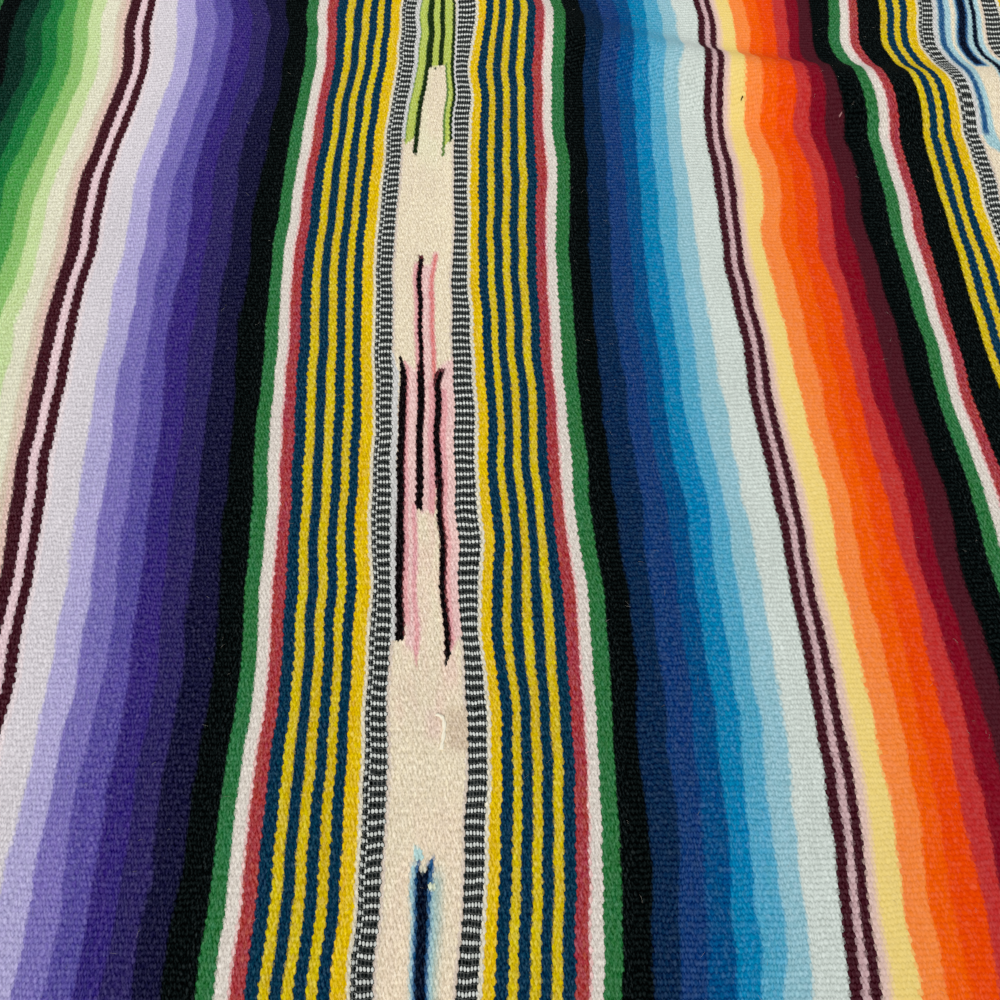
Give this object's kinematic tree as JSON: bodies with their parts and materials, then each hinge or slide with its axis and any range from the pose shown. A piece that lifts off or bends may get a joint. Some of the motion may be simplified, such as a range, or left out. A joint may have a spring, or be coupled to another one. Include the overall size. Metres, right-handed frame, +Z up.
{
  "type": "mexican serape",
  "caption": "Flat-lying handwoven serape with ombre stripes across its width, inlaid design bands, soft ridges and a knotted fringe at each end.",
  "frame": {"origin": "on the floor under the middle of the laid-out cloth", "axes": "+X along the warp towards the right fringe, +Y along the stripes towards the far selvedge, +Z up"},
  "size_m": [2.247, 1.2885, 0.0222],
  "materials": {
    "web": "matte weft-faced wool and cotton weave with a light nap",
    "fringe": "matte twisted cotton warp ends, knotted"
  },
  "bodies": {
    "root": {"woven_web": "web", "fringe_left": "fringe", "fringe_right": "fringe"}
  },
  "joints": []
}
